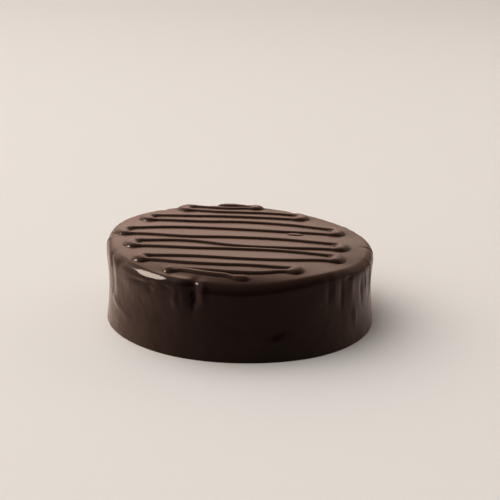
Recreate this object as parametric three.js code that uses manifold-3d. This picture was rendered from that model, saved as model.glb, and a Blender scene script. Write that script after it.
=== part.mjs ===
// Sachertorte: a whole round chocolate cake, covered all over in dark poured glaze, with one
// piped line of the same glaze going to and fro across its top.
// Millimetres, +Z up. The origin is the middle of the base, and the front of the cake is -Y.
// Azimuths are degrees from the front, positive towards +X.
import * as THREE from 'three';
import { mergeVertices } from 'three/addons/utils/BufferGeometryUtils.js';
import Module from 'manifold-3d';

// Driving sizes of the glazed cake
const CAKE_HEIGHT = 64.4; // middle of the top above the base
const RIM_RADIUS = 108.4; // where the wall meets the shoulder
const FOOT_RADIUS = 108.9; // where the wall meets the base
const WAIST = 1.6; // how far the wall draws in half-way up
const SHOULDER_RADIUS = 6.3; // rounding between the top and the wall
const FOOT_EDGE = 1.4; // height of the thin edge where the glaze set on the board
const FOOT_INSET = 0.4; // how far that edge draws in at the base
const TOP_RISE_X = -0.031; // the top leans: rise for each millimetre towards +X
const TOP_RISE_Y = -0.008; // and towards +Y
const FLAT_RADIUS = 58; // the top is flat inside this radius
const TOP_SAG = 2.0; // and sinks this far from there to the shoulder

// Driving sizes of the piped line
const BEAD_HALF_WIDTH = 3.1;
const BEAD_HEIGHT = 1.4;
const BEAD_ROOT = 1.6; // how deep its section reaches into the cake
const BEAD_STEPS = 2; // steps between two of the points that lead it
const TURN_HALF_WIDTH = 5.4; // the glaze pools where the line turns, so it is wider there
const TURN_HEIGHT = 2.2; // and higher
const TURN_SPREAD = 8; // for about this far on both sides of the turn
const TURN_DEPTH = 2; // and this many times as far forward and back
const TURN_FILL = 0.9; // the most of a turn's own radius that the half width fills
// Half of the line's section from its foot to its crest: aside in half widths, up in heights
const BEAD_FOOT = 1.1;
const BEAD_FLANK = [0.82, 0.5];
const BEAD_CREST = [0.3, 1];

// Fineness of the faceted surface, in degrees of azimuth for one step
const FINE_STEP = 1.5; // where the wall is folded
const PLAIN_STEP = 3.5; // elsewhere
const FINE_SPANS = [[-78, -10], [36, 80]];
const WALL_ROWS = 13;
const SHOULDER_ROWS = 6;
const TOP_ROWS = 4;
const BLOB_STEPS = 12;
const MERGE_WITHIN = 0.02; // facets this near to one plane are merged

// Places along the profile, unrolled from the wall's foot over the shoulder onto the top
const WALL_RUN = CAKE_HEIGHT - SHOULDER_RADIUS; // where the shoulder starts
const EDGE_RUN = WALL_RUN + (SHOULDER_RADIUS * Math.PI) / 2; // and where the top does
const TOP_FADE = 9; // the folds fade out over this much of the top

// The plan is not quite a circle: azimuth and half width in degrees, swell at the rim and at the foot
const SWELLS = [
  { azimuth: -115, spread: 26, rim: 3.1, foot: -3.4 },
  { azimuth: -85, spread: 26, rim: -2.5, foot: 0.2 },
  { azimuth: -55, spread: 26, rim: 3.4, foot: 0 },
  { azimuth: -25, spread: 26, rim: 2.4, foot: 0.4 },
  { azimuth: 5, spread: 26, rim: -1.2, foot: -1.0 },
  { azimuth: 35, spread: 26, rim: -3.4, foot: 1.3 },
  { azimuth: 70, spread: 26, rim: -1.9, foot: 0.1 },
  { azimuth: 105, spread: 26, rim: -0.9, foot: -1.9 },
  { azimuth: 150, spread: 26, rim: -3.3, foot: 0 },
];

// Along the shoulder the glaze sinks lower in some places and stands higher in one: azimuth and
// half width in degrees, drop, which sets in late
const SAGS = [
  { azimuth: 1, spread: 25, drop: 3.4 },
  { azimuth: 42, spread: 15, drop: -1.4 },
  { azimuth: 64, spread: 16, drop: 3.0 },
  { azimuth: 128, spread: 16, drop: 1.2 },
  { azimuth: -62, spread: 14, drop: 0.6 },
  { azimuth: -34, spread: 13, drop: 1.7 },
];

// Folds, runs and dents of the glaze. Each is a long soft bump at an azimuth and a place along the
// profile, turned from upright by lean (degrees, clockwise seen from outside), with its half
// length, half width and relief, where a negative relief is a hollow.
const FOLDS = [
  // the lip on the left front, and the crease under it
  { azimuth: -29.5, run: 62.5, lean: 87, length: 24, width: 3.6, relief: 2.1 },
  { azimuth: -42, run: 55.6, lean: 80, length: 11, width: 1.8, relief: -1.4 },
  { azimuth: -37, run: 52, lean: 60, length: 3.5, width: 2.6, relief: -0.8 },
  // the run that ends the lip, with its drop
  { azimuth: -26, run: 52, lean: 2, length: 9, width: 2.2, relief: 1.3 },
  { azimuth: -26.8, run: 48, lean: 0, length: 5, width: 2.4, relief: 0.9 },
  { azimuth: -23.2, run: 53, lean: 0, length: 8, width: 2.2, relief: -0.3 },
  { azimuth: -23.5, run: 63, lean: 80, length: 4, width: 2.4, relief: 0.5 },
  // the deep hollow beside it, a crest over it and the ridge on its right
  { azimuth: -18.2, run: 55, lean: 0, length: 9.5, width: 3.7, relief: -5.2 },
  { azimuth: -20.8, run: 67.5, lean: 86, length: 3.4, width: 2.0, relief: 1.5 },
  { azimuth: -14, run: 54, lean: -4, length: 8, width: 2.2, relief: 1.1 },
  // the curtain of folds at the far left, and the notch above it
  { azimuth: -72, run: 42, lean: 0, length: 16, width: 2.6, relief: 0.8 },
  { azimuth: -65.5, run: 42, lean: 2, length: 14, width: 3.4, relief: -0.6 },
  { azimuth: -66.5, run: 57, lean: 4, length: 6, width: 3.2, relief: -1.7 },
  { azimuth: -60.5, run: 46, lean: 4, length: 14, width: 3.0, relief: 0.8 },
  { azimuth: -56.5, run: 60.5, lean: 74, length: 6, width: 2.8, relief: -1.6 },
  { azimuth: -62, run: 25.5, lean: -72, length: 15, width: 2.6, relief: 1.0 },
  // runs on the right front
  { azimuth: 40, run: 50, lean: 0, length: 11, width: 2.4, relief: -1.2 },
  { azimuth: 43.6, run: 50, lean: 0, length: 10, width: 2.2, relief: 0.8 },
  { azimuth: 47.6, run: 47, lean: 0, length: 13, width: 2.2, relief: -1.3 },
  { azimuth: 54.5, run: 48, lean: 0, length: 12, width: 4.6, relief: 1.0 },
  { azimuth: 57, run: 24, lean: 4, length: 8, width: 3.0, relief: 0.8 },
  { azimuth: 53, run: 59, lean: 86, length: 5, width: 1.8, relief: -0.9 },
  { azimuth: 63, run: 46, lean: -3, length: 15, width: 2.2, relief: -0.9 },
  { azimuth: 68, run: 55, lean: -14, length: 13, width: 2.0, relief: 1.0 },
  { azimuth: 75, run: 46, lean: -6, length: 19, width: 2.2, relief: 0.9 },
  // dents low on the front
  { azimuth: -1, run: 30, lean: 20, length: 5, width: 8, relief: -0.8 },
  { azimuth: 16, run: 25, lean: 70, length: 9, width: 5, relief: -0.9 },
];

// The lip is cut off by a plane, which leaves a flat facet: the way it faces, its tilt from level,
// a place on it, how far round it reaches and the azimuths between which it fades out
const LIP_CUT = {
  facing: -36.5,
  tilt: 44,
  azimuth: -35,
  radius: 108.2,
  height: 63,
  within: 30,
  ends: [-24, -28],
};
const STEEPEST_CUT = 0.3; // the least cosine between the plane's normal and the profile's

// The side that faces away carries like folds, by a rule: ridges and hollows by turns, evenly
// spread with some play, each with a draw from these ranges
const BACK_FOLDS = 18;
const BACK_AZIMUTHS = [84, 278];
const BACK_PLAY = [0.2, 0.8];
const BACK_RUNS = [30, 54];
const BACK_LEANS = [-8, 8];
const BACK_LENGTHS = [8, 18];
const BACK_WIDTHS = [2.8, 5.2];
const BACK_RELIEFS = [0.7, 1.4];

// The slow unevenness of a glaze that was poured and spread by hand: waves with their size, how
// many go round the cake, how fast they turn on the way up and their start, in radians
const HAND_WAVES = [
  { size: 0.3, around: 5, climb: 0.06, start: 0 },
  { size: 0.2, around: 9, climb: -0.09, start: 1 },
];

// The strokes of the piped line, from the back to the front: how far forward or back each lies at
// its left end, its middle and its right end
const STROKES = [
  [100.0, 100.4, 99.6],
  [91.9, 88.0, 92.1],
  [75.7, 75.2, 77.1],
  [55.7, 59.4, 61.6],
  [40.2, 44.9, 38.1],
  [15.7, 22.9, 22.1],
  [-1.0, 0.0, -3.8],
  [-18.7, -22.3, -18.8],
  [-33.2, -31.2, -34.4],
  [-55.0, -55.0, -47.3],
  [-64.6, -70.9, -70.7],
  [-85.3, -86.4, -79.7],
  [-84.7, -90.8, -96.6],
];
// The outermost points of the turns, which lie by turns at the right and at the left
const TURN_REACH = [18.5, -56.5, 57.5, -86.5, 86, -103, 87, -93, 82, -83.5, 48.5, -60];
const LINE_START = -14; // where the first stroke starts
const LINE_END = 5; // where the last one ends
const TURN_ROOM = 11; // the stretch before a turn in which a stroke bends round
// The line starts and ends in a thicker blob, and one drop lies in front of a stroke: place, and
// half length, half width and height
const START_BLOB = { x: LINE_START + 1, y: STROKES[0][0], size: [10, 4.2, 1.9] };
const END_BLOB = { x: LINE_END - 0.5, y: STROKES[STROKES.length - 1][2], size: [5, 4.2, 1.9] };
const DROP = { x: 43.5, y: 16.5, size: [6.8, 2.6, 1.0] };

const GLAZE_COLOUR = 0x35241d;
const GLAZE_ROUGHNESS = 0.32;

const radians = THREE.MathUtils.degToRad;
const degrees = THREE.MathUtils.radToDeg;

function bell(offset, spread) {
  return Math.exp(-((offset / spread) ** 2));
}

function turned(azimuth, from) {
  return ((((azimuth - from) % 360) + 540) % 360) - 180;
}

function seededDraw(seed) {
  let state = seed;
  return ([low, high]) => {
    state = (state * 1664525 + 1013904223) % 4294967296;
    return low + ((high - low) * state) / 4294967296;
  };
}

function backFolds() {
  const draw = seededDraw(7);
  const [from, to] = BACK_AZIMUTHS;
  const folds = [];
  for (let i = 0; i < BACK_FOLDS; i += 1) {
    folds.push({
      azimuth: from + ((to - from) * (i + draw(BACK_PLAY))) / BACK_FOLDS,
      run: draw(BACK_RUNS),
      lean: draw(BACK_LEANS),
      length: draw(BACK_LENGTHS),
      width: draw(BACK_WIDTHS),
      relief: draw(BACK_RELIEFS) * (i % 2 ? 1 : -1),
    });
  }
  return folds;
}

const ALL_FOLDS = FOLDS.concat(backFolds());

// Relief of the folds at one place on the glaze
function foldRelief(azimuth, run) {
  let relief = 0;
  for (const fold of ALL_FOLDS) {
    const across = radians(turned(azimuth, fold.azimuth)) * RIM_RADIUS;
    const up = run - fold.run;
    const lean = radians(fold.lean);
    const along = up * Math.cos(lean) + across * Math.sin(lean);
    const aside = across * Math.cos(lean) - up * Math.sin(lean);
    relief += fold.relief * bell(along, fold.length) * bell(aside, fold.width);
  }
  return relief;
}

function handWave(azimuth, run) {
  const a = radians(azimuth);
  return HAND_WAVES.reduce((sum, w) => sum + w.size * Math.sin(w.around * a + w.climb * run + w.start), 0);
}

function swell(azimuth, level) {
  return SWELLS.reduce((sum, s) => sum + s[level] * bell(turned(azimuth, s.azimuth), s.spread), 0);
}

function topHeight(x, y) {
  const azimuth = degrees(Math.atan2(x, -y));
  const outer = Math.max(0, (Math.hypot(x, y) - FLAT_RADIUS) / (RIM_RADIUS - SHOULDER_RADIUS - FLAT_RADIUS));
  const sag = SAGS.reduce((sum, s) => sum + s.drop * bell(turned(azimuth, s.azimuth), s.spread), 0);
  return CAKE_HEIGHT + TOP_RISE_X * x + TOP_RISE_Y * y - TOP_SAG * outer ** 2 - sag * outer ** 4;
}

// How far the plane of the lip's facet cuts into a place, along the profile's normal
function lipCut(azimuth, radius, height, turn) {
  const [c, s] = [Math.cos(radians(LIP_CUT.tilt)), Math.sin(radians(LIP_CUT.tilt))];
  const facing = (from) => Math.cos(radians(from - LIP_CUT.facing));
  const plane = LIP_CUT.radius * facing(LIP_CUT.azimuth) * s + LIP_CUT.height * c;
  const depth = Math.max(0, radius * facing(azimuth) * s + height * c - plane);
  const along = Math.max(STEEPEST_CUT, Math.cos(turn) * facing(azimuth) * s + Math.sin(turn) * c);
  const [none, whole] = LIP_CUT.ends;
  const near = THREE.MathUtils.clamp((azimuth - none) / (whole - none), 0, 1);
  return Math.abs(azimuth - LIP_CUT.azimuth) < LIP_CUT.within ? (depth / along) * near : 0;
}

// A point of the profile, pushed out along its normal by its relief and cut by the lip's facet
function glazed(azimuth, radius, height, turn, relief) {
  const cut = lipCut(azimuth, radius + relief * Math.cos(turn), height + relief * Math.sin(turn), turn);
  const out = relief - cut;
  return place(azimuth, radius + out * Math.cos(turn), height + out * Math.sin(turn));
}

function place(azimuth, radius, height) {
  const a = radians(azimuth);
  return [radius * Math.sin(a), -radius * Math.cos(a), height];
}

function levelAt(azimuth, radius) {
  const [x, y] = place(azimuth, radius, 0);
  return topHeight(x, y);
}

// One upright section of the cake at an azimuth, from the flat of the top down to the base
function sectionPoints(azimuth) {
  const rim = RIM_RADIUS + swell(azimuth, 'rim');
  const foot = FOOT_RADIUS + swell(azimuth, 'foot');
  const inner = rim - SHOULDER_RADIUS;
  const wallTop = levelAt(azimuth, inner) - SHOULDER_RADIUS;
  const points = [];
  for (let i = 0; i < TOP_ROWS; i += 1) {
    const inside = (inner - FLAT_RADIUS) * (1 - i / TOP_ROWS);
    const relief = foldRelief(azimuth, EDGE_RUN + inside) * bell(inside, TOP_FADE);
    points.push(glazed(azimuth, inner - inside, levelAt(azimuth, inner - inside), Math.PI / 2, relief));
  }
  for (let i = 0; i <= SHOULDER_ROWS; i += 1) {
    const turn = (Math.PI / 2) * (1 - i / SHOULDER_ROWS);
    const reach = inner + SHOULDER_RADIUS * Math.cos(turn);
    const height = wallTop + SHOULDER_RADIUS * Math.sin(turn);
    points.push(glazed(azimuth, reach, height, turn, foldRelief(azimuth, WALL_RUN + SHOULDER_RADIUS * turn)));
  }
  for (let i = 1; i <= WALL_ROWS; i += 1) {
    const down = i / WALL_ROWS;
    const run = WALL_RUN * (1 - down);
    const waist = (WAIST - handWave(azimuth, run)) * Math.sin(Math.PI * down);
    const reach = rim + (foot - rim) * down - waist;
    points.push(glazed(azimuth, reach, wallTop + (FOOT_EDGE - wallTop) * down, 0, foldRelief(azimuth, run)));
  }
  points.push(place(azimuth, foot - FOOT_INSET, 0));
  return points;
}

function azimuthSteps() {
  const steps = [];
  let azimuth = -180;
  while (azimuth < 180 - FINE_STEP / 2) {
    steps.push(azimuth);
    const fine = FINE_SPANS.some(([from, to]) => azimuth >= from && azimuth < to);
    azimuth += fine ? FINE_STEP : PLAIN_STEP;
  }
  return steps;
}

// A closed surface from rows of points: each row a ring, its ends shut by a middle point
function closedRings(rings, first, last) {
  const count = rings[0].length;
  const positions = [first, ...rings.flat(), last].flat();
  const index = [];
  for (let k = 0; k < count; k += 1) {
    const next = (k + 1) % count;
    index.push(0, 1 + k, 1 + next);
    for (let r = 0; r + 1 < rings.length; r += 1) {
      const a = 1 + r * count + k;
      const b = 1 + r * count + next;
      index.push(a, a + count, b + count, a, b + count, b);
    }
    const base = 1 + (rings.length - 1) * count;
    index.push(base + k, 1 + rings.length * count, base + next);
  }
  const geometry = new THREE.BufferGeometry();
  geometry.setAttribute('position', new THREE.Float32BufferAttribute(positions, 3));
  geometry.setIndex(index);
  return geometry;
}

function cakeBody() {
  const sections = azimuthSteps().map(sectionPoints);
  const rings = sections[0].map((_, row) => sections.map((section) => section[row]));
  return closedRings(rings, [0, 0, topHeight(0, 0)], [0, 0, 0]);
}

// The piped line seen from above: points that lead its middle, and where its turns are
function pipedPath() {
  const points = [];
  const turns = [];
  STROKES.forEach(([left, middle, right], i) => {
    const way = i % 2 === 0 ? 1 : -1;
    const lastStroke = i === STROKES.length - 1;
    const startX = i === 0 ? LINE_START : TURN_REACH[i - 1] + way * TURN_ROOM;
    const endX = lastStroke ? LINE_END : TURN_REACH[i] - way * TURN_ROOM;
    const [startY, endY] = way > 0 ? [left, right] : [right, left];
    points.push([startX, startY], [(startX + endX) / 2, middle], [endX, endY]);
    if (lastStroke) return;
    const nextY = way > 0 ? STROKES[i + 1][2] : STROKES[i + 1][0];
    const radius = (endY - nextY) / 2;
    const halfWidth = Math.min(TURN_HALF_WIDTH, TURN_FILL * radius);
    const apexX = TURN_REACH[i] - way * halfWidth;
    const shoulderX = apexX - way * radius * (1 - Math.SQRT1_2);
    points.push([shoulderX, endY - radius * (1 - Math.SQRT1_2)], [apexX, endY - radius]);
    points.push([shoulderX, nextY + radius * (1 - Math.SQRT1_2)]);
    turns.push({ x: apexX, y: endY - radius, halfWidth });
  });
  return { points, turns };
}

// How wide and how high the line is at one place, from the turns that are near it
function beadSize(x, y, turns) {
  let halfWidth = BEAD_HALF_WIDTH;
  let height = BEAD_HEIGHT;
  for (const turn of turns) {
    const near = bell(Math.hypot(x - turn.x, (y - turn.y) / TURN_DEPTH), TURN_SPREAD);
    halfWidth += (turn.halfWidth - BEAD_HALF_WIDTH) * near;
    height += (TURN_HEIGHT - BEAD_HEIGHT) * near;
  }
  return [halfWidth, height];
}

// The section of the line, seen along it: a low round back on a root that reaches into the cake
function beadSection(halfWidth, height) {
  const back = [BEAD_FLANK, BEAD_CREST].map(([aside, up]) => [aside * halfWidth, up * height]);
  const half = [[BEAD_FOOT * halfWidth, -BEAD_ROOT], ...back];
  return [...half, ...half.map(([aside, up]) => [-aside, up]).reverse()];
}

function pipedLine() {
  const { points, turns } = pipedPath();
  const middle = new THREE.CatmullRomCurve3(points.map(([x, y]) => new THREE.Vector3(x, y, 0)), false, 'centripetal');
  const steps = (points.length - 1) * BEAD_STEPS;
  const rings = [];
  for (let i = 0; i <= steps; i += 1) {
    const { x, y } = middle.getPoint(i / steps);
    const ahead = middle.getTangent(i / steps);
    const level = topHeight(x, y);
    const section = beadSection(...beadSize(x, y, turns));
    rings.push(section.map(([aside, up]) => [x + ahead.y * aside, y - ahead.x * aside, level + up]));
  }
  const middleOf = (ring) => [0, 1, 2].map((k) => ring.reduce((sum, p) => sum + p[k], 0) / ring.length);
  return closedRings(rings, middleOf(rings[0]), middleOf(rings[steps]));
}

// A low round mound of glaze on the top
function blob({ x, y, size }) {
  const mound = new THREE.SphereGeometry(1, BLOB_STEPS, BLOB_STEPS / 2).rotateX(Math.PI / 2).scale(...size);
  return mound.translate(x, y, topHeight(x, y));
}

const wasm = await Module();
wasm.setup();

function toSolid(geometry) {
  const bare = geometry.clone();
  bare.deleteAttribute('normal');
  bare.deleteAttribute('uv');
  const merged = mergeVertices(bare, 1e-4);
  return new wasm.Manifold(new wasm.Mesh({
    numProp: 3,
    vertProperties: new Float32Array(merged.attributes.position.array),
    triVerts: new Uint32Array(merged.index.array),
  }));
}

function toGeometry(solid) {
  const mesh = solid.getMesh();
  const geometry = new THREE.BufferGeometry();
  geometry.setAttribute('position', new THREE.BufferAttribute(mesh.vertProperties, 3));
  geometry.setIndex(new THREE.BufferAttribute(mesh.triVerts, 1));
  geometry.computeVertexNormals();
  return geometry;
}

function glazedCake() {
  const piping = [pipedLine(), ...[START_BLOB, END_BLOB, DROP].map(blob)];
  const body = toSolid(cakeBody()).setTolerance(MERGE_WITHIN);
  return piping.reduce((cake, piece) => cake.add(toSolid(piece)), body);
}

const glaze = new THREE.MeshStandardMaterial({ color: GLAZE_COLOUR, roughness: GLAZE_ROUGHNESS, metalness: 0 });

const cake = new THREE.Mesh(toGeometry(glazedCake()), glaze);
cake.name = 'cake';

const group = new THREE.Group();
group.add(cake);

export default group;
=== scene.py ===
import math

import bpy
import numpy as np
from bpy.props import FloatProperty, IntProperty, PointerProperty, StringProperty
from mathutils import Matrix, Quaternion, Vector


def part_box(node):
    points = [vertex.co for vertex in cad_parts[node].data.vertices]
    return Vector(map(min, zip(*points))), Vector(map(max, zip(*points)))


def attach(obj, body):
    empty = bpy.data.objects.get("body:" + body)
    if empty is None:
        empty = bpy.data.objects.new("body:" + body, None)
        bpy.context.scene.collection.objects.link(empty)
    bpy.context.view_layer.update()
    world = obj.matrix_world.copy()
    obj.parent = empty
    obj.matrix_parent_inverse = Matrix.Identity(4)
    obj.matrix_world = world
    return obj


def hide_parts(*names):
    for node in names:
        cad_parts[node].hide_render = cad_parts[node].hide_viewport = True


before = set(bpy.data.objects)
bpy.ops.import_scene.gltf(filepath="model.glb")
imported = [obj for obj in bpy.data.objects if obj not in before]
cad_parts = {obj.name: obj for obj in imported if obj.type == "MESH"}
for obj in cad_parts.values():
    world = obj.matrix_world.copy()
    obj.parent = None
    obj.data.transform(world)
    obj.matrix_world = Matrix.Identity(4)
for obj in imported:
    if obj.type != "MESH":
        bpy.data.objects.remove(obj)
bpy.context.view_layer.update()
CAKE_LOW, CAKE_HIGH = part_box("cake")

bl_info = {
    "name": "Sachertorte",
    "version": (1, 0, 0),
    "blender": (4, 5, 0),
    "location": "View3D > Sidebar > Cake",
    "description": "A round chocolate cake under poured glaze, with a piped line across its top",
    "category": "Add Mesh",
}

MM = 0.001

# The form of the cake, in millimetres and degrees. An azimuth is counted from the front of the
# cake, which is -Y, and is positive towards +X.
TOP_SHARE = 0.9424  # height of the top's middle, as a share of the whole height
RIM_SHARE = 0.50275  # radius of the rim, as a share of the whole width
FOOT_GAIN = 0.5  # the foot stands out this much further than the rim
FOOT_EDGE = 0.6  # size of the small rounding at the very foot
TOP_RISE_X = -0.031  # the top leans: rise for each millimetre towards +X
TOP_RISE_Y = -0.008  # and towards +Y
FLAT_RADIUS = 58  # the top is flat inside this radius
TOP_SAG = 2.0  # and sinks this far from there to the shoulder
EDGE_POWER = 4  # swells and sags grow with this power of the way out, so they set in late
TOP_FADE = 9  # the folds fade out over this much of the top
FOOT_FADE = 2  # and over this much above the base

# The plan is not quite a circle: azimuth, half width, swell at the rim, swell at the foot
SWELLS = [
    (-115, 26, 3.1, -3.4),
    (-85, 26, -2.5, 0.2),
    (-55, 26, 3.4, 0),
    (-25, 26, 2.4, 0.4),
    (5, 26, -1.2, -1.0),
    (35, 26, -3.4, 1.3),
    (70, 26, -1.9, 0.1),
    (105, 26, -0.9, -1.9),
    (150, 26, -3.3, 0),
]

# Where the glaze sinks lower along the shoulder, or stands higher: azimuth, half width, drop
SAGS = [
    (1, 25, 2.9),
    (42, 15, -1.0),
    (64, 16, 1.5),
    (128, 16, 0.35),
    (-62, 14, 0.1),
    (-34, 13, 0.7),
]

# Folds, runs and dents of the glaze, each a long soft bump: azimuth, place along the profile
# unrolled from the wall's foot, lean from upright (clockwise seen from outside), half length,
# half width, relief
FOLDS = [
    # the lip on the left front, and the creases under it
    (-29.5, 63.2, 87, 25, 3.6, 2.1),
    (-42, 55.6, 80, 11, 1.8, -1.4),
    (-37, 52, 60, 3.5, 2.6, -0.8),
    (-36.5, 59.0, 84, 4, 1.6, -0.9),
    (-29.5, 58.5, 96, 3.5, 1.6, -0.9),
    # the runs that end the lip
    (-25.4, 52, 2, 9, 2.4, 0.7),
    (-26.2, 48, 0, 5, 2.6, 0.4),
    (-22.6, 53, 0, 9, 2.4, 0.5),
    (-23.5, 63, 80, 4, 2.4, 0.5),
    # the deep hollow beside it and the ridge on its right
    (-18.5, 55.0, 0, 9.5, 3.0, -5.2),
    (-14.2, 56, -4, 8, 2.2, 1.2),
    # the curtain of folds at the far left, and the notch above it
    (-72, 42, 0, 16, 3.4, 0.4),
    (-65.5, 42, 2, 14, 3.4, -0.6),
    (-66.5, 57.0, 4, 6, 3.2, -1.7),
    (-60.5, 46, 4, 14, 3.4, 0.4),
    (-56.5, 60.5, 74, 6, 2.8, -1.6),
    (-62, 25.5, -72, 15, 3.2, 0.8),
    # runs on the right front
    (40, 50, 0, 11, 2.6, -0.7),
    (43.6, 50, 0, 10, 2.2, 0.4),
    (47.6, 47, 0, 13, 2.4, -0.8),
    (54.5, 48, 0, 12, 4.6, 0.8),
    (57, 24, 4, 8, 3.0, 0.8),
    (53, 59, 86, 5, 1.8, -0.9),
    (63, 44, -3, 12, 2.2, -0.7),
    (68, 50, -8, 9, 2.0, 0.7),
    (75, 46, -4, 16, 2.2, 0.9),
    # dents low on the front
    (-1, 30, 20, 5, 8, -0.8),
    (16, 25, 70, 9, 5, -0.9),
]

# The lip is cut off by a plane, which leaves a flat facet: the way it faces, its tilt from level,
# a place on it (azimuth, radius, height), how far round from there it reaches and the azimuths
# between which it fades in
LIP_FACING = -36.0
LIP_TILT = 44
LIP_PLACE = (-33.5, 107.9, 64.05)
LIP_WITHIN = 30
LIP_ENDS = (-22.0, -25.5)
STEEPEST_CUT = 0.3  # the least cosine between the plane's normal and the profile's

# The side that faces away carries like folds, by a rule: ridges and hollows by turns, evenly
# spread with some play, each with a draw from these ranges
BACK_FOLDS = 18
BACK_SEED = 7
BACK_AZIMUTHS = (84, 278)
BACK_PLAY = (0.2, 0.8)
BACK_RUNS = (30, 54)
BACK_LEANS = (-8, 8)
BACK_LENGTHS = (8, 18)
BACK_WIDTHS = (2.8, 5.2)
BACK_RELIEFS = (0.7, 1.4)

# The slow unevenness of a glaze that was poured and spread by hand: waves with their size, how
# many go round the cake, how fast they turn on the way up and their start, in radians
HAND_WAVES = [(0.3, 5, 0.06, 0), (0.2, 9, -0.09, 1)]

# The strokes of the piped line, from the back to the front: how far forward or back each lies at
# its left end, at three places between and at its right end
STROKES = [
    (100.0, 100.2, 100.4, 100.4, 99.6),
    (91.9, 89.3, 88.0, 88.7, 92.1),
    (75.7, 73.7, 75.2, 77.2, 77.1),
    (55.7, 56.3, 59.4, 60.8, 61.6),
    (40.2, 40.6, 44.9, 43.6, 38.1),
    (15.7, 21.1, 22.9, 22.6, 22.1),
    (-1.0, -3.8, 0.0, 0.7, -3.8),
    (-18.7, -15.8, -22.3, -21.7, -18.8),
    (-33.2, -33.9, -31.2, -30.4, -34.4),
    (-55.0, -54.4, -55.0, -53.3, -47.3),
    (-64.6, -69.4, -70.9, -70.0, -70.7),
    (-82.0, -83.6, -85.2, -84.0, -78.5),
    (-84.6, -87.8, -90.2, -92.0, -94.6),
]
# The outermost points of the turns, which lie by turns at the right and at the left
TURN_REACH = [18.5, -56.5, 57.5, -86.5, 86, -103, 87, -93, 82, -83.5, 48.5, -58.5]
LINE_START = -11  # where the line starts along X, on the backmost stroke
LINE_END = 1.5  # and where it ends, on the front one
TURN_ROOM = 15  # the stretch before a turn in which a stroke bends round
TURN_DEPTH = 0.42  # how far along X the bend itself reaches, as a share of the gap it spans
TURN_SWELL = (1.0, 0.85, 0.3)  # how much of the extra width is there at the tip and beside it
# How far a turn's outermost point lies from the front stroke to the back one, right and left
TURN_TIPS = (0.6, 0.34)
# What the half width gains there: at least this much, and this share of the gap on top of it
TURN_LEAST = 1.3
TURN_FILL = 0.25
# The line starts and ends in a thicker blob: places along X from its end, each with its width as
# a share of the plain line's
START_BLOB = [(-9, 0.3), (-7.5, 1.0), (-3, 1.5), (3, 1.6), (9, 1.3)]
END_BLOB = [(-6, 0.9), (-3, 1.3), (0.5, 1.4), (3, 0.9), (4, 0.3)]
HANDLE = 0.39  # the curve's handles, as a share of the stretch between two leading points
PATH_STEP = 0.35  # the line is laid as round mounds, one for each step along the curve
# How a mound falls off from its middle to its rim: (1 - way out ** MOUND_FLAT) ** MOUND_STEEP
MOUND_FLAT = 2.5
MOUND_STEEP = 0.75
# The sheet of glaze that the mounds are raised on: its corners, the least height that is kept,
# how far the line is sunk, so that no gap shows at its foot, and how deep its underside lies
SHEET_LOW = (-110, -106)
SHEET_HIGH = (94, 108)
SHEET_LEAST = 0.03
SHEET_SINK = 0.06
SHEET_ROOT = 1.5

# One flat drop lies in front of a stroke: place, and half length, half width and height
DROP_PLACE = (43.5, 16.5)
DROP_SIZE = (7.0, 3.2, 0.8)

# Picking in edit mode: how far from a wanted height or place an edge or a face may lie, and the
# least share of Z in the normal of a face that counts as flat
PICK_WITHIN = 0.1
FLAT_NORMAL = 0.9
MERGE_WITHIN = 0.002  # points nearer to each other than this are merged

# Patterns of the glaze, in millimetres
PATCH_SIZE = 30  # patches that sugar dulls
PATCH_ENDS = (0.3, 0.7)  # most of the pattern's values lie between these
PATCH_ROUGHNESS = (-0.02, 0.04)  # what the roughness gains there
PEEL_SIZE = 7  # the orange-peel skin
PEEL_DEPTH = 0.4
SPREAD_SIZE = 19  # unevenness of the wall, which was spread by hand
SPREAD_DEPTH = 2.5
SPREAD_ENDS = (61, 50)  # it fades in between these heights

# The lights, in metres and watts: name, place, width and height, and power. The key light's power
# is one of the looks.
KEY = ("key_softbox", (-1.97, 0.21, 1.86), (0.95, 0.75))
# The silk overhead is two lights in one place. The cake casts no shadow from the open one, so the
# shadow on the paper stays faint. The bounces light the cake alone.
SOFTBOXES = [
    ("overhead_silk", (-1.3, 0.35, 2.4), (3.6, 3.6), 24.0),
    ("overhead_open", (-1.3, 0.35, 2.4), (3.6, 3.6), 26.0),
    ("right_fill", (1.5, 0.9, 0.9), (1.2, 1.2), 2.5),
    ("left_bounce", (-1.58, 0.05, 0.45), (1.2, 0.9), 45.0),
    ("right_bounce", (1.45, 0.4, 0.45), (1.2, 0.9), 16.0),
]
LIGHT_AIM = (0, 0, 0.03)
PAPER_SIZE = 16
CAMERA_AIM = (6.9, 0, 54.2)  # in millimetres

# The surroundings, as linear colours: dim on the camera's side, a warm bright wall behind the
# cake that is cooler towards the right, a dim ceiling, and a glow high on the left
WORLD_FRONT = (0.05, 0.048, 0.046, 1)
WORLD_BACK = (1.36, 1.065, 0.935, 1)
WORLD_BACK_RIGHT = (1.22, 1.08, 0.97, 1)
WORLD_CEILING = (0.2, 0.17, 0.155, 1)
WORLD_GLOW = (0.9, 0.86, 0.8, 1)
GLOW_TOWARDS = (-0.78, -0.15, 0.6)
# Where they change, as the share of X, Y or Z in the direction that is looked in
BACK_FROM_Y = (-0.3, 0.8)  # from the camera's side to the wall behind
CEILING_FROM_Z = (0.46, 0.84)  # from the walls to the ceiling
BRIGHT_FROM_Z = (0.09, 0.30)  # the wall brightens from the horizon up
HORIZON_SHARE = 0.2  # where it has this share of its brightness
DIM_FROM_X = (0.0, 0.3)  # it dims towards the right
RIGHT_SHARE = 0.3  # to this share of its brightness
COOL_FROM_X = (-0.02, 0.14)  # and turns cooler there
GLOW_FROM = (0.45, 1.0)  # the glow's rim and middle, as the cosine of the angle from its middle


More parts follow.
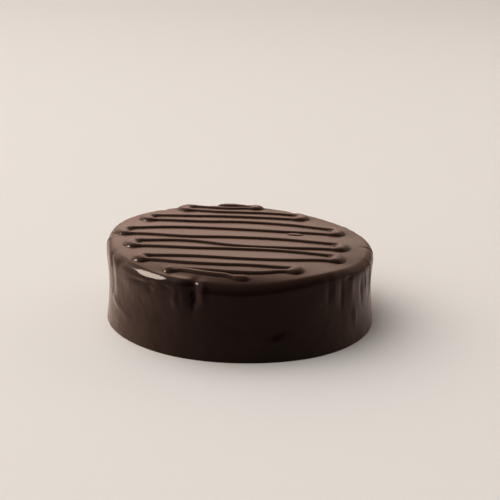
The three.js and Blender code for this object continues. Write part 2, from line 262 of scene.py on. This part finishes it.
class CakeSizes(bpy.types.PropertyGroup):
    """Sizes of the cake and of the line piped on it."""

    top_height: FloatProperty(
        name="Top height", description="Middle of the glazed top above the base",
        default=CAKE_HIGH.z * TOP_SHARE, subtype="DISTANCE", unit="LENGTH")
    rim_radius: FloatProperty(
        name="Rim radius", description="Radius of the wall where it meets the shoulder",
        default=(CAKE_HIGH.x - CAKE_LOW.x) * RIM_SHARE, subtype="DISTANCE", unit="LENGTH")
    shoulder: FloatProperty(
        name="Shoulder", description="Radius of the rounding between the top and the wall",
        default=6.3 * MM, subtype="DISTANCE", unit="LENGTH")
    waist: FloatProperty(
        name="Waist", description="How far the wall draws in half-way up",
        default=1.6 * MM, subtype="DISTANCE", unit="LENGTH")
    line_half_width: FloatProperty(
        name="Line half width", description="Half the width of the piped line",
        default=3.1 * MM, subtype="DISTANCE", unit="LENGTH")
    line_height: FloatProperty(
        name="Line height", description="Height of the piped line above the top",
        default=1.6 * MM, subtype="DISTANCE", unit="LENGTH")
    turn_half_width: FloatProperty(
        name="Turn half width", description="Half the width of the line where it turns",
        default=6.2 * MM, subtype="DISTANCE", unit="LENGTH")
    turn_height: FloatProperty(
        name="Turn height", description="Height of the line where it turns",
        default=2.7 * MM, subtype="DISTANCE", unit="LENGTH")


class CakeLook(bpy.types.PropertyGroup):
    """Colours and light."""

    glaze: StringProperty(
        name="Glaze", description="Colour of the chocolate glaze, sRGB hex", default="#140C0A")
    glaze_pale: StringProperty(
        name="Glaze, pale", description="Colour of the glaze where sugar dulls it, sRGB hex",
        default="#1C120E")
    cocoa_gloss: StringProperty(
        name="Cocoa gloss", description="Tint of the gloss seen straight on, sRGB hex",
        default="#FFE0CC")
    bloom: StringProperty(
        name="Bloom", description="Colour of the fine sugar bloom seen at a flat angle, sRGB hex",
        default="#D8A88C")
    paper: StringProperty(
        name="Paper", description="Colour of the floor, sRGB hex", default="#DBD9D6")
    roughness: FloatProperty(
        name="Roughness", description="Roughness of the set glaze",
        default=0.22, min=0.0, max=1.0, subtype="FACTOR")
    key_tint: StringProperty(
        name="Key tint", description="Colour of the softbox on the left, sRGB hex",
        default="#FFF8F1")
    bounce_tint: StringProperty(
        name="Bounce tint", description="Colour of the light on the wall's sides, sRGB hex",
        default="#E6EEFF")
    key_power: FloatProperty(
        name="Key power", description="Power of the softbox on the left", default=76.0, min=0.0,
        unit="POWER")


def linear(hex_colour):
    """Linear RGBA from an sRGB hex colour."""
    channels = [int(hex_colour[i:i + 2], 16) / 255 for i in (1, 3, 5)]
    return [c / 12.92 if c <= 0.04045 else ((c + 0.055) / 1.055) ** 2.4 for c in channels] + [1.0]


def bell(offset, spread):
    """A soft bump: 1 in its middle, and 0.37 at the spread from there."""
    return np.exp(-((offset / spread) ** 2))


def turned(azimuth, start):
    """How far an azimuth is turned from another, between -180 and 180 degrees."""
    return (azimuth - start + 180) % 360 - 180


def azimuth_of(x, y):
    """Azimuth of a place in the plan."""
    return np.degrees(np.arctan2(x, -y))


def seeded_draw(seed):
    """A function that draws from a range, the same numbers each time: a plain linear
    congruential generator."""
    state = seed

    def draw(low, high):
        nonlocal state
        state = (state * 1664525 + 1013904223) % 2 ** 32
        return low + (high - low) * state / 2 ** 32

    return draw


def back_folds():
    """Folds for the side that faces away, spread evenly with some play."""
    draw = seeded_draw(BACK_SEED)
    start, end = BACK_AZIMUTHS
    return [
        (
            start + (end - start) * (i + draw(*BACK_PLAY)) / BACK_FOLDS,
            draw(*BACK_RUNS),
            draw(*BACK_LEANS),
            draw(*BACK_LENGTHS),
            draw(*BACK_WIDTHS),
            draw(*BACK_RELIEFS) * (1 if i % 2 else -1),
        )
        for i in range(BACK_FOLDS)
    ]


class PouredForm:
    """The uneven form of the poured glaze, in millimetres."""

    def __init__(self, sizes):
        self.top = sizes.top_height / MM
        self.rim = sizes.rim_radius / MM
        self.shoulder = sizes.shoulder / MM
        self.waist = sizes.waist / MM
        self.inner = self.rim - self.shoulder
        self.folds = FOLDS + back_folds()

    def swells(self, azimuth):
        """How far the plan swells at the rim and at the foot."""
        rim, foot = 0, 0
        for at, spread, rim_swell, foot_swell in SWELLS:
            share = bell(turned(azimuth, at), spread)
            rim = rim + share * rim_swell
            foot = foot + share * foot_swell
        return rim, foot

    def top_level(self, x, y):
        """Height of the glazed top over a place in the plan."""
        outer = np.maximum(0, (np.hypot(x, y) - FLAT_RADIUS) / (self.inner - FLAT_RADIUS))
        azimuth = azimuth_of(x, y)
        sag = sum(drop * bell(turned(azimuth, at), spread) for at, spread, drop in SAGS)
        sunk = TOP_SAG * outer ** 2 + sag * outer ** EDGE_POWER
        return self.top + TOP_RISE_X * x + TOP_RISE_Y * y - sunk

    def fold_relief(self, azimuth, run):
        """Relief of the folds at a place along the profile, unrolled from the wall's foot."""
        relief = np.zeros_like(azimuth)
        for at, middle, lean, length, width, depth in self.folds:
            across = np.radians(turned(azimuth, at)) * self.rim
            up = run - middle
            c, s = math.cos(math.radians(lean)), math.sin(math.radians(lean))
            relief += depth * bell(up * c + across * s, length) * bell(across * c - up * s, width)
        return relief

    def hand_wave(self, azimuth, height):
        """The slow unevenness of a glaze spread by hand."""
        a = np.radians(azimuth)
        return sum(
            size * np.sin(around * a + climb * height + start)
            for size, around, climb, start in HAND_WAVES)

    def poured(self, plain):
        """Moves points of the plain round form to where the glaze lies."""
        x, y, z = plain.T
        radius = np.hypot(x, y)
        azimuth = azimuth_of(x, y)
        a = np.radians(azimuth)
        wall_top = self.top - self.shoulder
        up_wall = np.clip(z / wall_top, 0, 1)

        # the plan swells, the wall draws in and the top leans and sags
        rim, foot = self.swells(azimuth)
        swell = foot + FOOT_GAIN + (rim - foot - FOOT_GAIN) * up_wall
        bulge = np.sin(np.pi * up_wall)
        out = np.clip(radius / self.inner, 0, 1) ** EDGE_POWER
        reach = radius + out * (swell + bulge * (self.hand_wave(azimuth, z) - self.waist))
        level = self.top_level(reach * np.sin(a), -reach * np.cos(a))
        height = z + (level - self.top) * up_wall

        # the folds stand out along the profile's normal
        turn = np.arcsin(np.clip((z - wall_top) / self.shoulder, 0, 1))
        turn = np.where(radius < self.inner, np.pi / 2, turn)
        inside = np.maximum(0, self.inner - radius)
        run = np.where(turn > 0, wall_top + self.shoulder * turn, z) + inside
        fade = bell(inside, TOP_FADE) * np.clip(z / FOOT_FADE, 0, 1)
        relief = self.fold_relief(azimuth, run) * fade
        reach = reach + relief * np.cos(turn)
        height = height + relief * np.sin(turn)

        cut = self.lip_cut(azimuth, reach, height, turn)
        reach = reach - cut * np.cos(turn)
        height = height - cut * np.sin(turn)
        return np.column_stack([reach * np.sin(a), -reach * np.cos(a), height])

    def skin_level(self, x, y):
        """Height of the glaze over a place in the plan, folds included."""
        azimuth = azimuth_of(x, y)
        reach = np.hypot(x, y)
        swell = self.swells(azimuth)[0] * np.clip(reach / self.inner, 0, 1) ** EDGE_POWER
        inside = np.maximum(0, self.inner - (reach - swell))
        run = self.top - self.shoulder + self.shoulder * math.pi / 2 + inside
        return self.top_level(x, y) + self.fold_relief(azimuth, run) * bell(inside, TOP_FADE)

    def lip_cut(self, azimuth, reach, height, turn):
        """How far the plane of the lip's facet cuts into a place, along the profile's normal."""
        c, s = math.cos(math.radians(LIP_TILT)), math.sin(math.radians(LIP_TILT))
        at, radius, level = LIP_PLACE
        aside = np.cos(np.radians(azimuth - LIP_FACING))
        plane = radius * math.cos(math.radians(at - LIP_FACING)) * s + level * c
        depth = reach * aside * s + height * c - plane
        along = np.maximum(STEEPEST_CUT, np.cos(turn) * aside * s + np.sin(turn) * c)
        near = np.clip((azimuth - LIP_ENDS[0]) / (LIP_ENDS[1] - LIP_ENDS[0]), 0, 1)
        near = near * (np.abs(azimuth - at) < LIP_WITHIN)
        return np.maximum(0, depth) / along * near


def mesh_points(obj):
    """The vertices of a mesh as rows of X, Y and Z, in millimetres."""
    flat = np.empty(len(obj.data.vertices) * 3)
    obj.data.vertices.foreach_get("co", flat)
    return flat.reshape(-1, 3) / MM


def set_mesh_points(obj, points):
    """Moves the vertices of a mesh to rows of X, Y and Z, in millimetres."""
    obj.data.vertices.foreach_set("co", (points * MM).ravel())
    obj.data.update()


def clear_selection(obj, kind):
    """Makes one object active, for edit mode to pick its vertices, edges or faces, with none of
    them selected."""
    bpy.ops.object.select_all(action="DESELECT")
    obj.select_set(True)
    bpy.context.view_layer.objects.active = obj
    bpy.ops.object.mode_set(mode="EDIT")
    bpy.ops.mesh.select_mode(type=kind)
    bpy.ops.mesh.select_all(action="DESELECT")
    bpy.ops.object.mode_set(mode="OBJECT")


def edit_faces(obj, wanted):
    """Starts edit mode with the faces selected whose centre and normal are wanted."""
    clear_selection(obj, "FACE")
    for face in obj.data.polygons:
        face.select = wanted(face.center / MM, face.normal)
    bpy.ops.object.mode_set(mode="EDIT")


def edit_edges(obj, wanted):
    """Starts edit mode with the edges selected whose two ends are wanted."""
    clear_selection(obj, "EDGE")
    points = obj.data.vertices
    for line in obj.data.edges:
        a, b = (points[i].co / MM for i in line.vertices)
        line.select = wanted(a, b)
    bpy.ops.object.mode_set(mode="EDIT")


def on_axis(place):
    """Whether a place lies over the middle of the base."""
    return place.xy.length < PICK_WITHIN


def turn_faces_out(obj):
    """Merges doubled points and turns all faces outwards."""
    clear_selection(obj, "VERT")
    bpy.ops.object.mode_set(mode="EDIT")
    bpy.ops.mesh.select_all(action="SELECT")
    bpy.ops.mesh.remove_doubles(threshold=MERGE_WITHIN * MM)
    bpy.ops.mesh.normals_make_consistent(inside=False)
    bpy.ops.object.mode_set(mode="OBJECT")


def add_node(tree, kind, settings=None, inputs=None, links=None):
    """Adds a shader node with its settings, its socket values and the links into it."""
    node = tree.nodes.new(kind)
    for name, value in (settings or {}).items():
        setattr(node, name, value)
    for name, value in (inputs or {}).items():
        node.inputs[name].default_value = value
    for name, source in (links or {}).items():
        tree.links.new(source, node.inputs[name])
    return node


def new_material(name):
    """A material with an empty node tree."""
    material = bpy.data.materials.new(name)
    material.use_nodes = True
    material.node_tree.nodes.clear()
    return material


def poured_chocolate_glaze(look):
    """Cooked chocolate and sugar glaze, poured warm and set: smooth and close to black-brown, with
    a satin gloss that is a little duller in patches, a thin hard shine over it, a faint
    orange-peel skin, and a wall that is uneven from being spread by hand."""
    material = new_material("poured_chocolate_glaze")
    tree = material.node_tree
    place = add_node(tree, "ShaderNodeTexCoord").outputs["Object"]
    patches = add_node(
        tree, "ShaderNodeTexNoise",
        inputs={"Scale": 1 / (PATCH_SIZE * MM), "Detail": 3.0, "Roughness": 0.5},
        links={"Vector": place})
    colour = add_node(
        tree, "ShaderNodeMix", {"data_type": "RGBA"},
        inputs={"A": linear(look.glaze), "B": linear(look.glaze_pale)},
        links={"Factor": patches.outputs["Fac"]})
    dull = add_node(
        tree, "ShaderNodeMapRange",
        inputs={"From Min": PATCH_ENDS[0], "From Max": PATCH_ENDS[1],
                "To Min": look.roughness + PATCH_ROUGHNESS[0],
                "To Max": look.roughness + PATCH_ROUGHNESS[1]},
        links={"Value": patches.outputs["Fac"]})

    # the wall's unevenness, with the skin on top of it
    height = add_node(tree, "ShaderNodeSeparateXYZ", links={"Vector": place}).outputs["Z"]
    wall = add_node(
        tree, "ShaderNodeMapRange", {"interpolation_type": "SMOOTHSTEP"},
        inputs={"From Min": SPREAD_ENDS[0] * MM, "From Max": SPREAD_ENDS[1] * MM},
        links={"Value": height})
    spread = add_node(
        tree, "ShaderNodeTexNoise",
        inputs={"Scale": 1 / (SPREAD_SIZE * MM), "Detail": 2.0, "Roughness": 0.5},
        links={"Vector": place})
    uneven = add_node(
        tree, "ShaderNodeMath", {"operation": "MULTIPLY"},
        links={0: spread.outputs["Fac"], 1: wall.outputs["Result"]})
    spread_bump = add_node(
        tree, "ShaderNodeBump", inputs={"Strength": 0.6, "Distance": SPREAD_DEPTH * MM},
        links={"Height": uneven.outputs["Value"]})
    peel = add_node(
        tree, "ShaderNodeTexNoise",
        inputs={"Scale": 1 / (PEEL_SIZE * MM), "Detail": 2.0, "Roughness": 0.45},
        links={"Vector": place})
    peel_bump = add_node(
        tree, "ShaderNodeBump", inputs={"Strength": 0.12, "Distance": PEEL_DEPTH * MM},
        links={"Height": peel.outputs["Fac"], "Normal": spread_bump.outputs["Normal"]})

    shader = add_node(
        tree, "ShaderNodeBsdfPrincipled",
        inputs={"IOR": 1.19, "Coat Weight": 0.22, "Coat IOR": 1.3, "Coat Roughness": 0.07,
                "Specular Tint": linear(look.cocoa_gloss), "Sheen Weight": 0.3,
                "Sheen Roughness": 0.5, "Sheen Tint": linear(look.bloom)},
        links={"Base Color": colour.outputs["Result"], "Roughness": dull.outputs["Result"],
               "Normal": peel_bump.outputs["Normal"]})
    add_node(tree, "ShaderNodeOutputMaterial", links={"Surface": shader.outputs["BSDF"]})
    return material


def seamless_paper(look):
    """Matte studio background paper, as it comes on wide rolls: even and without gloss."""
    material = new_material("seamless_paper")
    tree = material.node_tree
    shader = add_node(
        tree, "ShaderNodeBsdfPrincipled",
        inputs={"Base Color": linear(look.paper), "Roughness": 0.9, "Specular IOR Level": 0.1})
    add_node(tree, "ShaderNodeOutputMaterial", links={"Surface": shader.outputs["BSDF"]})
    return material


def shared_glaze(look):
    """The one glaze of all pieces, made when the first of them needs it."""
    return bpy.data.materials.get("poured_chocolate_glaze") or poured_chocolate_glaze(look)


def finish_piece(obj, name):
    """Names a piece, gives it the glaze and ties it to the frame."""
    obj.name = name
    obj.data.name = name
    obj.data.materials.clear()
    obj.data.materials.append(shared_glaze(bpy.context.scene.cake_look))
    bpy.ops.object.select_all(action="DESELECT")
    obj.select_set(True)
    bpy.context.view_layer.objects.active = obj
    bpy.ops.object.shade_smooth()
    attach(obj, "root")
    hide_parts("cake")


class CAKE_OT_add_body(bpy.types.Operator):
    """Adds the round cake under its poured glaze."""

    bl_idname = "cake.add_body"
    bl_label = "Glazed cake"

    segments: IntProperty(name="Segments", description="Steps round the cake", default=720)
    wall_rows: IntProperty(name="Wall rows", description="Rows of faces up the wall", default=42)
    shoulder_rows: IntProperty(
        name="Shoulder rows", description="Rows round the shoulder", default=14)
    edge_rings: IntProperty(
        name="Edge rings", description="Fine rings on the top's edge", default=16)
    inner_rings: IntProperty(name="Inner rings", description="Rings inside them", default=6)

    def execute(self, context):
        form = PouredForm(context.scene.cake_sizes)
        bpy.ops.object.select_all(action="DESELECT")
        bpy.ops.mesh.primitive_cylinder_add(
            vertices=self.segments, radius=form.rim * MM, depth=form.top * MM,
            location=(0, 0, form.top * MM / 2))
        cake = context.active_object
        bpy.ops.object.transform_apply(location=True, rotation=True, scale=True)

        # the rounding of the shoulder and the foot, and rows up the wall
        edit_edges(cake, lambda a, b: min(a.z, b.z) > form.top - PICK_WITHIN)
        bpy.ops.mesh.bevel(
            offset=form.shoulder * MM, segments=self.shoulder_rows, affect="EDGES",
            clamp_overlap=False)
        bpy.ops.object.mode_set(mode="OBJECT")
        edit_edges(cake, lambda a, b: max(a.z, b.z) < PICK_WITHIN)
        bpy.ops.mesh.bevel(offset=FOOT_EDGE * MM, segments=2, affect="EDGES", clamp_overlap=False)
        bpy.ops.object.mode_set(mode="OBJECT")
        edit_edges(cake, lambda a, b: abs(a.z - b.z) > form.top / 2)
        bpy.ops.mesh.subdivide(number_cuts=self.wall_rows - 1)
        bpy.ops.object.mode_set(mode="OBJECT")

        # rings and a fan of triangles on the top, and a fan on the underside
        edit_faces(cake, lambda centre, normal: on_axis(centre) and normal.z > FLAT_NORMAL)
        fine = (form.inner - FLAT_RADIUS) / self.edge_rings
        coarse = FLAT_RADIUS / (self.inner_rings + 1)
        for width in [fine] * self.edge_rings + [coarse] * self.inner_rings:
            bpy.ops.mesh.inset(thickness=width * MM)
        bpy.ops.mesh.poke()
        bpy.ops.object.mode_set(mode="OBJECT")
        edit_faces(cake, lambda centre, normal: on_axis(centre) and normal.z < -FLAT_NORMAL)
        bpy.ops.mesh.poke()
        bpy.ops.object.mode_set(mode="OBJECT")

        set_mesh_points(cake, form.poured(mesh_points(cake)))
        turn_faces_out(cake)
        finish_piece(cake, "glazed_cake")
        return {"FINISHED"}


def turn_points(reach, way, end_y, next_y, tip_share, sizes):
    """Leading points round a turn between two strokes. It bends in steps of 45 degrees and swells
    towards its tip."""
    half = sizes.line_half_width / MM
    gap = end_y - next_y
    wide = min(sizes.turn_half_width / MM, half + TURN_LEAST + TURN_FILL * gap)
    tip_x = reach - way * wide
    tip_y = next_y + tip_share * gap
    points = []
    for step in range(-2, 3):
        bend = math.radians(45 * step)
        half_turn = end_y - tip_y if step < 0 else tip_y - next_y
        x = tip_x - way * TURN_DEPTH * gap * (1 - math.cos(bend))
        y = tip_y - half_turn * math.sin(bend)
        points.append((x, y, 1 + (wide / half - 1) * TURN_SWELL[abs(step)]))
    return points


def leading_points(sizes):
    """Points that lead the middle of the piped line, each with its width as a share of the plain
    line's."""
    # each stroke's way along X, its levels on that way, and where it ends
    ways = [-1 if i % 2 else 1 for i in range(len(STROKES))]
    laid = [stroke[::way] for stroke, way in zip(STROKES, ways)]
    ends = [reach - way * TURN_ROOM for reach, way in zip(TURN_REACH, ways)] + [LINE_END]
    points = [(LINE_START + x, laid[0][0], wide) for x, wide in START_BLOB]
    for i, reach in enumerate(TURN_REACH):
        points.append((ends[i], laid[i][4], 1))
        points += turn_points(
            reach, ways[i], laid[i][4], laid[i + 1][0], TURN_TIPS[i % 2], sizes)
        span = ends[i + 1] - ends[i]
        points += [(ends[i] + span * k / 4, laid[i + 1][k], 1) for k in range(4)]
    return points + [(LINE_END + x, laid[-1][4], wide) for x, wide in END_BLOB]


def smooth_path(leading):
    """Places at small steps on a smooth curve through the leading points."""
    points = np.array(leading)
    spans = np.diff(points, axis=0)
    lengths = np.hypot(spans[:, 0], spans[:, 1])[:, None]
    ways = spans / lengths
    ways = np.vstack([ways[:1], ways[:-1] + ways[1:], ways[-1:]])
    ways /= np.hypot(ways[:, 0], ways[:, 1])[:, None]
    ways[:, 2] = 0
    places = []
    for k, length in enumerate(lengths[:, 0]):
        t = np.arange(0, 1, PATH_STEP / length)[:, None]
        start, end = points[k], points[k + 1]
        lead = start + ways[k] * length * HANDLE
        follow = end - ways[k + 1] * length * HANDLE
        rest = 1 - t
        places.append(
            rest ** 3 * start + 3 * rest ** 2 * t * lead + 3 * rest * t ** 2 * follow + t ** 3 * end)
    return np.vstack(places)


class GlazeSheet:
    """A thin sheet of glaze over the plan of the top, in millimetres, that round mounds raise."""

    def __init__(self, steps):
        self.axes = [
            np.linspace(low, high, int((high - low) / step) + 1)
            for low, high, step in zip(SHEET_LOW, SHEET_HIGH, steps)]
        self.height = np.zeros((len(self.axes[1]), len(self.axes[0])))

    def raise_mound(self, x, y, half, height):
        """Raises a low round mound: flat on its back and steep at its foot."""
        columns, rows = (
            slice(np.searchsorted(axis, middle - half), np.searchsorted(axis, middle + half))
            for axis, middle in zip(self.axes, (x, y)))
        across = (self.axes[0][columns] - x) / half
        along = (self.axes[1][rows] - y) / half
        away = np.minimum(1, np.hypot(across[None, :], along[:, None]))
        part = self.height[rows, columns]
        np.maximum(part, height * (1 - away ** MOUND_FLAT) ** MOUND_STEEP, out=part)

    def soften(self):
        """Lets the mounds run into each other and into the top."""
        for axis in (1, 0):
            around = np.roll(self.height, 1, axis) + np.roll(self.height, -1, axis)
            self.height = self.height / 2 + around / 4


class CAKE_OT_add_piping(bpy.types.Operator):
    """Adds the line of glaze piped to and fro across the top."""

    bl_idname = "cake.add_piping"
    bl_label = "Piped line"

    step_x: FloatProperty(
        name="Step along", description="Grid step along X", default=0.8 * MM, unit="LENGTH")
    step_y: FloatProperty(
        name="Step across", description="Grid step along Y", default=0.5 * MM, unit="LENGTH")

    def execute(self, context):
        sizes = context.scene.cake_sizes
        form = PouredForm(sizes)
        half = sizes.line_half_width / MM
        full = sizes.turn_half_width / MM
        plain = sizes.line_height / MM
        gain = (sizes.turn_height / MM - plain) / (full / half - 1)
        sheet = GlazeSheet((self.step_x / MM, self.step_y / MM))
        for x, y, wide in smooth_path(leading_points(sizes)):
            height = plain * min(1, wide) + gain * max(0, wide - 1)
            sheet.raise_mound(x, y, half * wide, height)
        sheet.soften()

        # a grid over the sheet, cut down to the line and extruded by 1 mm for its upper side
        columns, rows = (len(axis) for axis in sheet.axes)
        bpy.ops.object.select_all(action="DESELECT")
        bpy.ops.mesh.primitive_grid_add(
            x_subdivisions=columns - 1, y_subdivisions=rows - 1, size=MM)
        line = context.active_object
        x, y = (plan.ravel() for plan in np.meshgrid(*sheet.axes))
        set_mesh_points(line, np.column_stack([x, y, np.zeros_like(x)]))
        clear_selection(line, "VERT")
        line.data.vertices.foreach_set("select", sheet.height.ravel() < SHEET_LEAST)
        bpy.ops.object.mode_set(mode="EDIT")
        bpy.ops.mesh.delete(type="VERT")
        bpy.ops.mesh.select_all(action="SELECT")
        bpy.ops.mesh.extrude_region_move(TRANSFORM_OT_translate={"value": (0, 0, MM)})
        bpy.ops.object.mode_set(mode="OBJECT")

        points = mesh_points(line)
        x, y, z = points.T
        column, row = (
            np.rint((place - axis[0]) / (axis[1] - axis[0])).astype(int)
            for place, axis in zip((x, y), sheet.axes))
        upper = z > 0.5
        raised = sheet.height[row, column] - SHEET_SINK
        points[:, 2] = form.skin_level(x, y) + np.where(upper, raised, -SHEET_ROOT)
        set_mesh_points(line, points)
        turn_faces_out(line)
        finish_piece(line, "piped_line")
        return {"FINISHED"}


class CAKE_OT_add_drop(bpy.types.Operator):
    """Adds the flat drop of glaze that fell in front of a stroke."""

    bl_idname = "cake.add_drop"
    bl_label = "Glaze drop"

    def execute(self, context):
        form = PouredForm(context.scene.cake_sizes)
        bpy.ops.object.select_all(action="DESELECT")
        bpy.ops.mesh.primitive_uv_sphere_add(
            segments=48, ring_count=24, radius=MM, location=(0, 0, 0))
        drop = context.active_object
        points = mesh_points(drop) * DROP_SIZE
        points[:, :2] += DROP_PLACE
        points[:, 2] += form.top_level(points[:, 0], points[:, 1])
        set_mesh_points(drop, points)
        turn_faces_out(drop)
        finish_piece(drop, "glaze_drop")
        return {"FINISHED"}


class CAKE_OT_add_studio(bpy.types.Operator):
    """Adds the paper floor, the softboxes, the pale surroundings and the camera."""

    bl_idname = "cake.add_studio"
    bl_label = "Studio"

    distance: FloatProperty(
        name="Distance", description="Camera to the cake", default=1.1, unit="LENGTH")
    elevation: FloatProperty(
        name="Elevation", description="Camera above the horizon, degrees", default=17.8)
    roll: FloatProperty(name="Roll", description="Roll of the camera, degrees", default=1.3)
    lens: FloatProperty(name="Lens", description="Focal length in millimetres", default=98.0)

    def add_floor(self, look):
        """Adds the wide sheet of paper that the cake stands on."""
        bpy.ops.object.select_all(action="DESELECT")
        bpy.ops.mesh.primitive_plane_add(size=PAPER_SIZE, location=(0, 0, 0))
        floor = bpy.context.active_object
        floor.name = "paper_floor"
        floor.data.materials.append(seamless_paper(look))

    def add_softbox(self, name, place, size, power):
        """Adds a rectangular light that faces the cake."""
        bpy.ops.object.light_add(type="AREA", location=place)
        lamp = bpy.context.active_object
        lamp.name = name
        lamp.data.shape = "RECTANGLE"
        lamp.data.size, lamp.data.size_y = size
        lamp.data.energy = power
        lamp.rotation_mode = "QUATERNION"
        lamp.rotation_quaternion = (Vector(place) - Vector(LIGHT_AIM)).to_track_quat("Z", "Y")
        return lamp

    def collect(self, name, members):
        """A collection of those objects that are there, for a light to be linked with."""
        collection = bpy.data.collections.new(name)
        for member in members:
            if member in bpy.data.objects:
                collection.objects.link(bpy.data.objects[member])
        return collection

    def add_lights(self, look):
        """Adds the softboxes. The key light gives gloss alone, and the others give none."""
        key = self.add_softbox(*KEY, look.key_power)
        key.data.color = linear(look.key_tint)[:3]
        key.visible_diffuse = False
        lamps = {}
        for name, place, size, power in SOFTBOXES:
            lamps[name] = self.add_softbox(name, place, size, power)
            lamps[name].visible_glossy = False
        paper = self.collect("paper_only", ["paper_floor"])
        lamps["overhead_open"].light_linking.blocker_collection = paper
        pieces = self.collect("cake_pieces", ["glazed_cake", "piped_line", "glaze_drop"])
        for name in ("left_bounce", "right_bounce"):
            lamps[name].data.color = linear(look.bounce_tint)[:3]
            lamps[name].light_linking.receiver_collection = pieces

    def add_surroundings(self):
        """Adds pale walls and a ceiling: a warm bright wall behind the cake, dim on the camera's
        side."""
        world = bpy.data.worlds.new("pale_studio")
        bpy.context.scene.world = world
        world.use_nodes = True
        tree = world.node_tree
        tree.nodes.clear()
        place = add_node(tree, "ShaderNodeTexCoord").outputs["Generated"]
        parts = add_node(tree, "ShaderNodeSeparateXYZ", links={"Vector": place})

        # how much of the bright wall is seen in a direction
        behind = add_node(
            tree, "ShaderNodeMapRange", {"interpolation_type": "SMOOTHSTEP"},
            inputs={"From Min": BACK_FROM_Y[0], "From Max": BACK_FROM_Y[1]},
            links={"Value": parts.outputs["Y"]})
        aside = add_node(
            tree, "ShaderNodeMapRange",
            inputs={"From Min": DIM_FROM_X[0], "From Max": DIM_FROM_X[1], "To Min": 1.0,
                    "To Max": RIGHT_SHARE},
            links={"Value": parts.outputs["X"]})
        low = add_node(
            tree, "ShaderNodeMapRange", {"interpolation_type": "SMOOTHSTEP"},
            inputs={"From Min": BRIGHT_FROM_Z[0], "From Max": BRIGHT_FROM_Z[1],
                    "To Min": HORIZON_SHARE},
            links={"Value": parts.outputs["Z"]})
        wide = add_node(
            tree, "ShaderNodeMath", {"operation": "MULTIPLY"},
            links={0: behind.outputs["Result"], 1: aside.outputs["Result"]})
        band = add_node(
            tree, "ShaderNodeMath", {"operation": "MULTIPLY"},
            links={0: wide.outputs["Value"], 1: low.outputs["Result"]})

        # its colour, and the walls all round
        rightwards = add_node(
            tree, "ShaderNodeMapRange",
            inputs={"From Min": COOL_FROM_X[0], "From Max": COOL_FROM_X[1]},
            links={"Value": parts.outputs["X"]})
        back = add_node(
            tree, "ShaderNodeMix", {"data_type": "RGBA"},
            inputs={"A": WORLD_BACK, "B": WORLD_BACK_RIGHT},
            links={"Factor": rightwards.outputs["Result"]})
        walls = add_node(
            tree, "ShaderNodeMix", {"data_type": "RGBA"}, inputs={"A": WORLD_FRONT},
            links={"Factor": band.outputs["Value"], "B": back.outputs["Result"]})

        # the ceiling and the glow
        above = add_node(
            tree, "ShaderNodeMapRange", {"interpolation_type": "SMOOTHSTEP"},
            inputs={"From Min": CEILING_FROM_Z[0], "From Max": CEILING_FROM_Z[1]},
            links={"Value": parts.outputs["Z"]})
        room = add_node(
            tree, "ShaderNodeMix", {"data_type": "RGBA"}, inputs={"B": WORLD_CEILING},
            links={"Factor": above.outputs["Result"], "A": walls.outputs["Result"]})
        towards = add_node(
            tree, "ShaderNodeVectorMath", {"operation": "DOT_PRODUCT"}, inputs={1: GLOW_TOWARDS},
            links={0: place})
        near = add_node(
            tree, "ShaderNodeMapRange", {"interpolation_type": "SMOOTHSTEP"},
            inputs={"From Min": GLOW_FROM[0], "From Max": GLOW_FROM[1]},
            links={"Value": towards.outputs["Value"]})
        glow = add_node(
            tree, "ShaderNodeMix", {"data_type": "RGBA", "blend_type": "ADD"},
            inputs={"B": WORLD_GLOW},
            links={"Factor": near.outputs["Result"], "A": room.outputs["Result"]})
        background = add_node(
            tree, "ShaderNodeBackground", inputs={"Strength": 1.0},
            links={"Color": glow.outputs["Result"]})
        add_node(
            tree, "ShaderNodeOutputWorld", links={"Surface": background.outputs["Background"]})

    def add_camera(self):
        """Adds a long lens in front of the cake and above it, with a slight roll."""
        aim = Vector([c * MM for c in CAMERA_AIM])
        rise = math.radians(self.elevation)
        back = Vector((0, -math.cos(rise), math.sin(rise)))
        bpy.ops.object.camera_add(location=aim + back * self.distance)
        camera = bpy.context.active_object
        camera.rotation_mode = "QUATERNION"
        level = (-back).to_track_quat("-Z", "Y")
        camera.rotation_quaternion = level @ Quaternion((0, 0, 1), math.radians(self.roll))
        camera.data.lens = self.lens
        camera.data.sensor_width = 36
        camera.data.clip_end = 100
        bpy.context.scene.camera = camera

    def execute(self, context):
        look = context.scene.cake_look
        self.add_floor(look)
        self.add_lights(look)
        self.add_surroundings()
        self.add_camera()
        context.scene.view_settings.view_transform = "Standard"
        context.scene.view_settings.look = "Medium High Contrast"
        return {"FINISHED"}


class VIEW3D_PT_cake(bpy.types.Panel):
    """Lists the sizes, the looks and the pieces of the cake."""

    bl_idname = "VIEW3D_PT_cake"
    bl_label = "Sachertorte"
    bl_space_type = "VIEW_3D"
    bl_region_type = "UI"
    bl_category = "Cake"

    def draw(self, context):
        for group in (context.scene.cake_sizes, context.scene.cake_look):
            for name in group.__annotations__:
                self.layout.prop(group, name)
        for operator in (CAKE_OT_add_body, CAKE_OT_add_piping, CAKE_OT_add_drop, CAKE_OT_add_studio):
            self.layout.operator(operator.bl_idname)


CLASSES = (
    CakeSizes, CakeLook, CAKE_OT_add_body, CAKE_OT_add_piping, CAKE_OT_add_drop, CAKE_OT_add_studio,
    VIEW3D_PT_cake)


def register():
    """Registers the classes, and puts the sizes and the looks on the scene."""
    for part in CLASSES:
        bpy.utils.register_class(part)
    bpy.types.Scene.cake_sizes = PointerProperty(type=CakeSizes)
    bpy.types.Scene.cake_look = PointerProperty(type=CakeLook)


def unregister():
    """Takes back what register did."""
    del bpy.types.Scene.cake_look
    del bpy.types.Scene.cake_sizes
    for part in reversed(CLASSES):
        bpy.utils.unregister_class(part)


def main():
    """Builds the cake and its studio."""
    register()
    bpy.ops.cake.add_body()
    bpy.ops.cake.add_piping()
    bpy.ops.cake.add_drop()
    bpy.ops.cake.add_studio()


if __name__ == "__main__":
    main()
